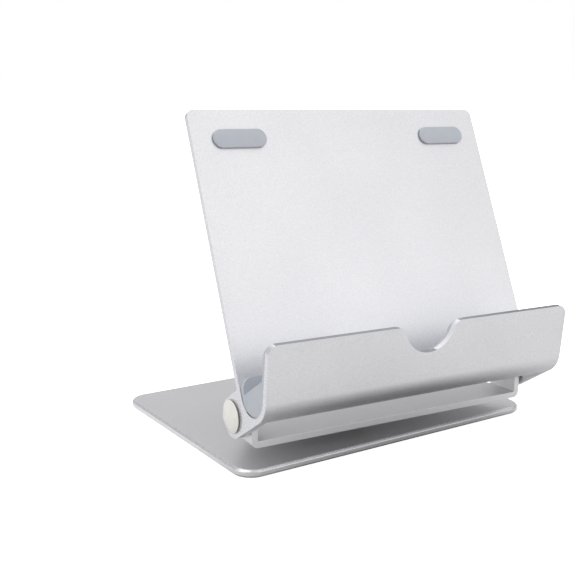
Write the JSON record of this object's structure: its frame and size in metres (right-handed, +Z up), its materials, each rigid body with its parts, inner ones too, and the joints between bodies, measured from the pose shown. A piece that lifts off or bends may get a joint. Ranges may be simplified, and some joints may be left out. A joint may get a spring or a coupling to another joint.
{
  "type": "tablet stand",
  "caption": "Aluminium tablet stand: a J-shaped holder with a notched lip tilts on a U bracket that swivels on a flat base.",
  "frame": {"origin": "on the swivel axis at the middle of the base's underside, level with the desk", "axes": "+Z up along the swivel axis, +X to the user's right along the hinge axis, +Y away from the user, so the lip faces -Y"},
  "size_m": [0.1866, 0.1542, 0.1613],
  "materials": {
    "base_aluminium": "satin, bead blasted and anodised",
    "holder_aluminium": "satin, bead blasted and anodised",
    "grey_silicone": "matt",
    "foot_rubber": "matt",
    "cap_plastic": "semi-gloss",
    "nylon": "matt",
    "hardware_steel": "plain"
  },
  "bodies": {
    "base": {"base_plate": "base_aluminium", "foot_pad_front_left": "foot_rubber", "foot_pad_front_right": "foot_rubber", "foot_pad_rear_left": "foot_rubber", "foot_pad_rear_right": "foot_rubber", "pivot_cover_pad": "foot_rubber", "swivel_bush": "nylon", "swivel_wave_washer": "hardware_steel"},
    "turntable": {"swivel_bolt": "hardware_steel", "swivel_hub": "base_aluminium", "swivel_bracket": "base_aluminium", "hub_screw_1": "hardware_steel", "hub_screw_2": "hardware_steel", "hub_screw_3": "hardware_steel"},
    "holder": {"tilt_holder": "holder_aluminium", "trough_liner": "grey_silicone", "corner_pad_left": "grey_silicone", "corner_pad_right": "grey_silicone", "hinge_bolt_left": "hardware_steel", "hinge_bolt_right": "hardware_steel", "hinge_cap_left": "cap_plastic", "hinge_cap_right": "cap_plastic", "friction_washer_left": "nylon", "friction_washer_right": "nylon", "hinge_wave_washer_left": "hardware_steel", "hinge_wave_washer_right": "hardware_steel", "hinge_nut_left": "hardware_steel", "hinge_nut_right": "hardware_steel"}
  },
  "joints": [
    {"name": "swivel", "type": "hinge", "parent": "base", "child": "turntable", "pos_m": [0, 0, 0], "axis": [0, 0, 1], "continuous": true},
    {"name": "tilt", "type": "hinge", "parent": "turntable", "child": "holder", "pos_m": [0, -0.0548, 0.0274], "axis": [-1, 0, 0], "range_deg": [-25, 65]}
  ]
}
